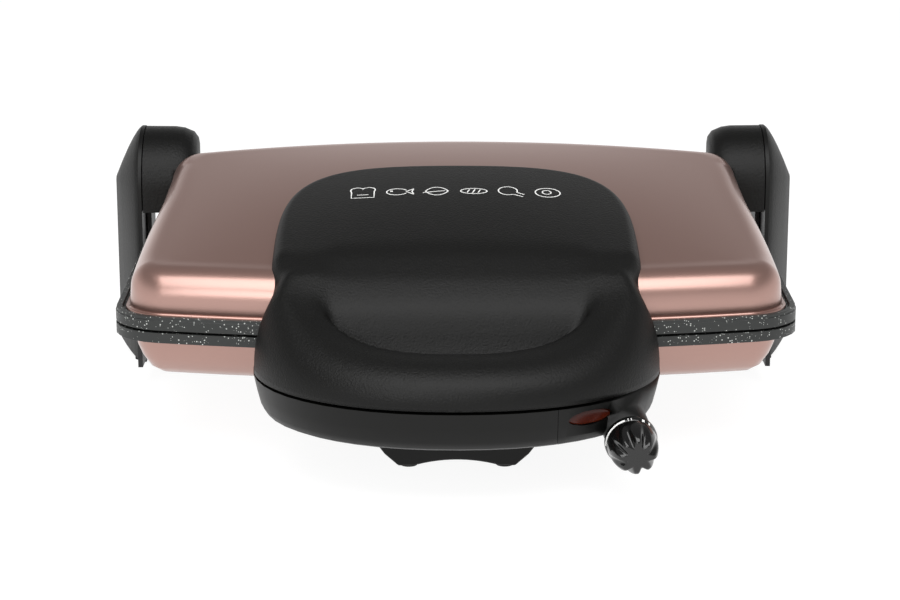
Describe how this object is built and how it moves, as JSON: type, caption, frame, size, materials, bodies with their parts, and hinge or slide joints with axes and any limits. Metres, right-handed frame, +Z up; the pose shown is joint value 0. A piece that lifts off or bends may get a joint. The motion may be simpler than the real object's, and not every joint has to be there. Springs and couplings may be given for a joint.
{
  "type": "electric indoor grill",
  "caption": "Countertop contact grill: hinged metal lid with moulded front handle over two ribbed cast plates, shallow lower shell, control knob, indicator lens and two rear hinge towers.",
  "frame": {"origin": "middle of the object's outline on the table top it stands on", "axes": "+X to the right seen from the front, +Y from the handle towards the hinge towers, +Z up"},
  "size_m": [0.4462, 0.368, 0.153],
  "materials": {
    "rose_paint": "metallic satin",
    "granite_coating": "speckled non-stick coating",
    "black_plastic": "fine grained",
    "gloss_black": "polished",
    "black_paint": "powder coat",
    "bright_steel": "zinc plated",
    "aluminium_sheet": "mill finish",
    "rubber": "matt",
    "red_lens": "clear tinted",
    "lamp_glass": "polished",
    "ceramic": "glazed",
    "wire_sleeve": "braided"
  },
  "bodies": {
    "base": {"lower_shell": "rose_paint", "lower_plate": "granite_coating", "lower_heater": "bright_steel", "lower_reflector": "aluminium_sheet", "bottom_cover": "black_paint", "front_housing": "black_plastic", "control_panel": "black_plastic", "front_foot": "black_plastic", "front_foot_pads": "rubber", "left_tower_frame": "black_plastic", "right_tower_frame": "black_plastic", "left_tower_cover": "black_plastic", "right_tower_cover": "black_plastic", "tower_foot_pads": "rubber", "rear_crossbar": "black_paint", "thermostat_body": "bright_steel", "thermostat_bracket": "bright_steel", "indicator_lens": "red_lens", "indicator_lamp": "lamp_glass", "terminal_block": "ceramic", "thermal_fuse": "bright_steel", "cord_gland": "rubber", "base_wiring": "wire_sleeve", "lower_plate_screws": "bright_steel", "bottom_cover_screws": "bright_steel", "tower_screws": "bright_steel"},
    "hinge_carriage": {"left_slider": "bright_steel", "right_slider": "bright_steel", "left_pivot_pin": "bright_steel", "right_pivot_pin": "bright_steel", "pivot_clips": "bright_steel"},
    "lid": {"lid_shell": "rose_paint", "upper_plate": "granite_coating", "upper_heater": "bright_steel", "upper_reflector": "aluminium_sheet", "handle": "black_plastic", "handle_cover": "black_plastic", "handle_screws": "bright_steel", "left_hinge_arm": "black_paint", "right_hinge_arm": "black_paint", "left_arm_cover": "black_plastic", "right_arm_cover": "black_plastic", "arm_spacers": "bright_steel", "lid_brackets": "bright_steel", "arm_screws": "bright_steel", "upper_plate_screws": "bright_steel"},
    "knob": {"knob": "gloss_black", "knob_shaft": "bright_steel"}
  },
  "joints": [
    {"name": "hinge_float", "type": "slide", "parent": "base", "child": "hinge_carriage", "axis": [0, 0, 1], "range_m": [0, 0.02]},
    {"name": "lid_hinge", "type": "hinge", "parent": "hinge_carriage", "child": "lid", "pos_m": [0, 0.148, 0.0775], "axis": [-1, 0, 0], "range_deg": [0, 180]},
    {"name": "knob_turn", "type": "hinge", "parent": "base", "child": "knob", "pos_m": [0.0965, -0.1575, 0.0347], "axis": [-0.12, 0.9775, 0.1736], "range_deg": [0, 270]}
  ]
}
